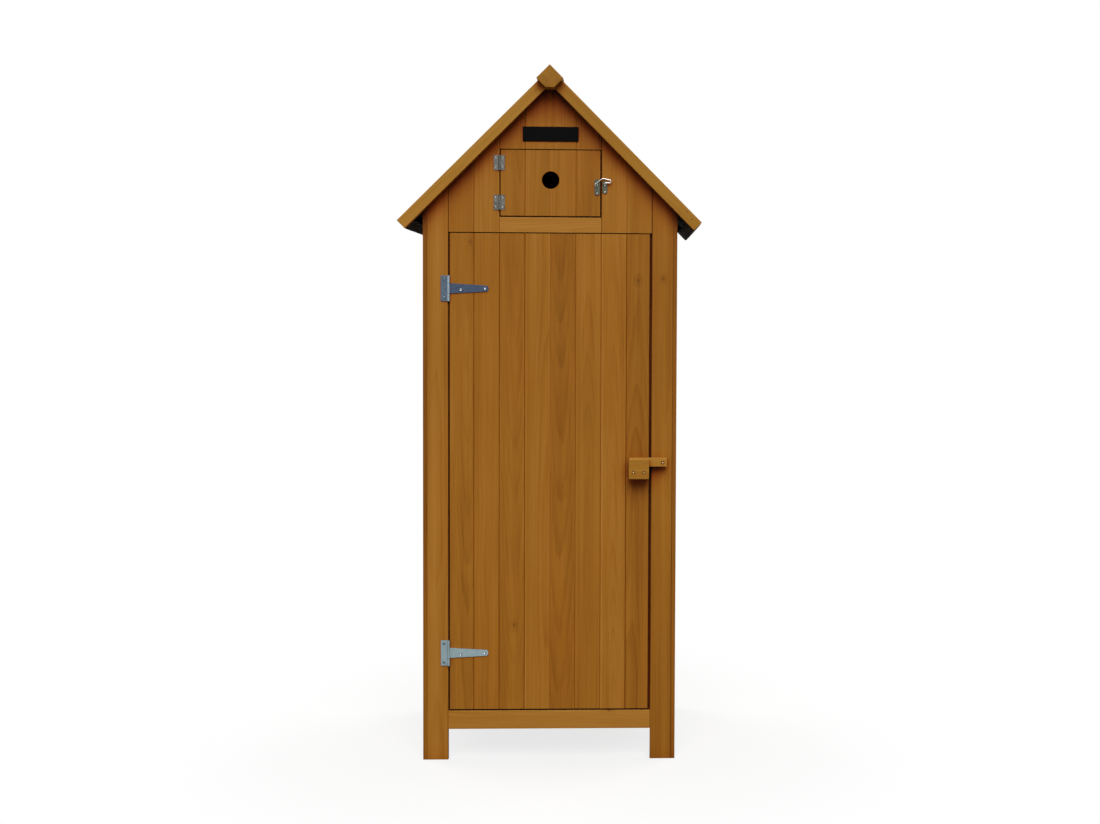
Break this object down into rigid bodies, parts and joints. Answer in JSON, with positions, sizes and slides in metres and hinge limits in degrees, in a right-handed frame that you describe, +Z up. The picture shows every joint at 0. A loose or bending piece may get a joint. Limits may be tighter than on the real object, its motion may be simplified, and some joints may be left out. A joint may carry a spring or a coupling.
{
  "type": "garden storage cabinet",
  "caption": "Narrow plank-built garden storage cabinet on legs with a steep gable roof, a tall strap-hinged door held by a turning wooden latch bar, and a small hooked hatch in the gable.",
  "frame": {"origin": "on the ground, in the middle of the footprint", "axes": "+X to the right seen from the front, +Y to the back, +Z up"},
  "size_m": [0.775, 0.54, 1.786],
  "materials": {
    "stained_wood": "honey-brown stained softwood planks, satin, with visible grain and knots",
    "roof_trim_wood": "honey-brown stained softwood battens, satin",
    "inner_wood": "stained softwood, sawn, slightly darker inside",
    "galvanised_steel": "galvanised sheet steel and wire",
    "screw_steel": "zinc-plated screws",
    "roofing_felt": "black bitumen roofing felt with a mineral surface",
    "dark_plate": "plain black plate with nothing on it"
  },
  "bodies": {
    "root": {"back_planks": "stained_wood", "bottom_rail": "stained_wood", "catch_plate": "galvanised_steel", "corner_posts": "inner_wood", "door_stops": "inner_wood", "eave_battens": "inner_wood", "floor_bearers": "inner_wood", "floor_boards": "inner_wood", "floor_rails": "inner_wood", "frame_screws": "screw_steel", "gable_planks_left": "stained_wood", "gable_planks_right": "stained_wood", "gable_planks_top": "stained_wood", "gable_rafters": "inner_wood", "hatch_frame_leaves": "galvanised_steel", "hatch_head": "inner_wood", "hatch_hinge_pins": "galvanised_steel", "hatch_jambs": "inner_wood", "hatch_sill": "stained_wood", "headers": "inner_wood", "hinge_pins": "galvanised_steel", "hinge_plates": "galvanised_steel", "latch_screw": "screw_steel", "latch_washer": "galvanised_steel", "leg_boards_back": "stained_wood", "leg_boards_front": "stained_wood", "loft_boards": "inner_wood", "loft_rails": "inner_wood", "rakes_back": "roof_trim_wood", "rakes_front": "roof_trim_wood", "ridge_beam": "roof_trim_wood", "roof_boards_left": "inner_wood", "roof_boards_right": "inner_wood", "roof_felt_left": "roofing_felt", "roof_felt_right": "roofing_felt", "shelf_cleats": "inner_wood", "shelf_high_boards": "inner_wood", "shelf_low_boards": "inner_wood", "side_leg_boards": "stained_wood", "side_planks_left": "stained_wood", "side_planks_right": "stained_wood", "sign_plate": "dark_plate", "wall_plates": "inner_wood"},
    "door": {"door_planks": "stained_wood", "door_ledges": "inner_wood", "door_braces": "inner_wood", "hinge_straps": "galvanised_steel", "keeper_spacer": "stained_wood", "keeper_plate": "stained_wood", "door_screws": "screw_steel"},
    "latch": {"latch_bar": "stained_wood"},
    "hatch": {"hatch_planks": "stained_wood", "hatch_ledges": "inner_wood", "hatch_leaves": "galvanised_steel", "hook_plate": "galvanised_steel", "hatch_screws": "screw_steel"},
    "hook": {"hatch_hook": "galvanised_steel"}
  },
  "joints": [
    {"name": "door_hinge", "type": "hinge", "parent": "root", "child": "door", "pos_m": [-0.26, -0.2235, 0.7505], "axis": [0, 0, -1], "range_deg": [0, 175]},
    {"name": "latch_pivot", "type": "hinge", "parent": "root", "child": "latch", "pos_m": [0.2908, -0.2305, 0.777], "axis": [0, 1, 0], "range_deg": [0, 290]},
    {"name": "hatch_hinge", "type": "hinge", "parent": "root", "child": "hatch", "pos_m": [-0.131, -0.2225, 1.493], "axis": [0, 0, -1], "range_deg": [0, 120]},
    {"name": "hook_pivot", "type": "hinge", "parent": "hatch", "child": "hook", "pos_m": [0.117, -0.2252, 1.4885], "axis": [0, -1, 0], "range_deg": [0, 150]}
  ]
}
